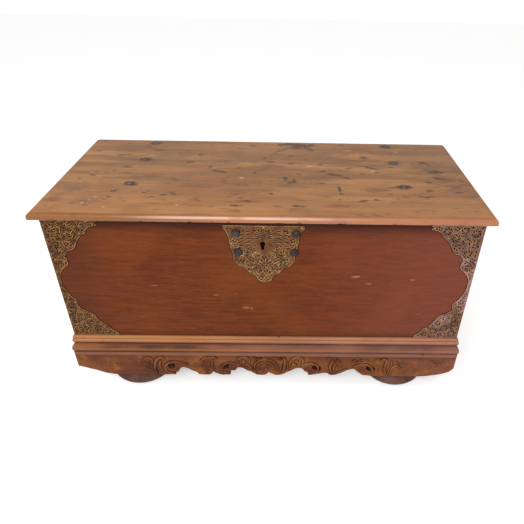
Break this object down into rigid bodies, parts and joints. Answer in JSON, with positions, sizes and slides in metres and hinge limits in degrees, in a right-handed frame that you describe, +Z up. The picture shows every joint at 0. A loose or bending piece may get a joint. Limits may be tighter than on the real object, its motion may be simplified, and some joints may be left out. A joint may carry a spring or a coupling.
{
  "type": "blanket chest",
  "caption": "Low dovetailed blanket chest with a moulded hinged lid, pierced brass corner mounts and key plate, beaded plinth, scalloped apron, bun feet and drop handles on the ends.",
  "frame": {"origin": "on the floor, under the middle of the whole object", "axes": "+X along the length to the viewer's right, +Y from the front to the back, +Z up"},
  "size_m": [1.2646, 0.5966, 0.6552],
  "materials": {
    "lid_wood": "old waxed honey-brown hardwood with stains and wear",
    "carcass_wood": "red-brown polished hardwood, fine straight grain",
    "inner_wood": "plain unfinished secondary wood",
    "moulding_wood": "polished orange-brown hardwood",
    "apron_wood": "carved mid-brown hardwood, dark in the hollows",
    "foot_wood": "worn dark grey-brown turned hardwood",
    "old_brass": "antique brass, dark in the piercings",
    "bright_brass": "rubbed bright brass",
    "dark_iron": "dark forged iron"
  },
  "bodies": {
    "carcass": {"front_board": "carcass_wood", "back_board": "carcass_wood", "end_board_left": "carcass_wood", "end_board_right": "carcass_wood", "bottom_plank_front": "inner_wood", "bottom_plank_back": "inner_wood", "base_rail_back": "inner_wood", "corner_block_front_left": "inner_wood", "corner_block_front_right": "inner_wood", "corner_block_back_left": "inner_wood", "corner_block_back_right": "inner_wood", "plinth_moulding_front": "moulding_wood", "plinth_moulding_left": "moulding_wood", "plinth_moulding_right": "moulding_wood", "apron_front": "apron_wood", "apron_left": "apron_wood", "apron_right": "apron_wood", "foot_front_left": "foot_wood", "foot_front_right": "foot_wood", "foot_back_left": "foot_wood", "foot_back_right": "foot_wood", "corner_mount_left": "old_brass", "corner_mount_right": "old_brass", "escutcheon": "old_brass", "corner_pins_left": "bright_brass", "corner_pins_right": "bright_brass", "escutcheon_pins": "bright_brass", "escutcheon_bolts": "dark_iron", "lock_plate": "dark_iron", "lock_case": "dark_iron", "lock_guides": "dark_iron", "lock_spring": "dark_iron", "hinge_nails": "dark_iron", "hinge_leaf_left": "dark_iron", "hinge_leaf_right": "dark_iron", "hinge_pin_left": "dark_iron", "hinge_pin_right": "dark_iron", "handle_plate_left": "dark_iron", "handle_plate_right": "dark_iron", "handle_posts_left": "dark_iron", "handle_posts_right": "dark_iron"},
    "lid": {"lid_board": "lid_wood", "hinge_rivets": "dark_iron", "hinge_strap_left": "dark_iron", "hinge_strap_right": "dark_iron", "lock_staple": "dark_iron"},
    "handle_left": {"handle_bail_left": "dark_iron"},
    "handle_right": {"handle_bail_right": "dark_iron"},
    "latch": {"lock_bolt": "dark_iron"}
  },
  "joints": [
    {"name": "lid_hinge", "type": "hinge", "parent": "carcass", "child": "lid", "pos_m": [0, 0.29201, 0.6265], "axis": [-1, 0, 0], "range_deg": [0, 110]},
    {"name": "handle_left_swing", "type": "hinge", "parent": "carcass", "child": "handle_left", "pos_m": [-0.623, 0.00451, 0.468], "axis": [0, 1, 0], "range_deg": [0, 180]},
    {"name": "handle_right_swing", "type": "hinge", "parent": "carcass", "child": "handle_right", "pos_m": [0.623, 0.00451, 0.468], "axis": [0, -1, 0], "range_deg": [0, 180]},
    {"name": "lock_bolt_slide", "type": "slide", "parent": "carcass", "child": "latch", "axis": [1, 0, 0], "range_m": [0, 0.014]}
  ]
}
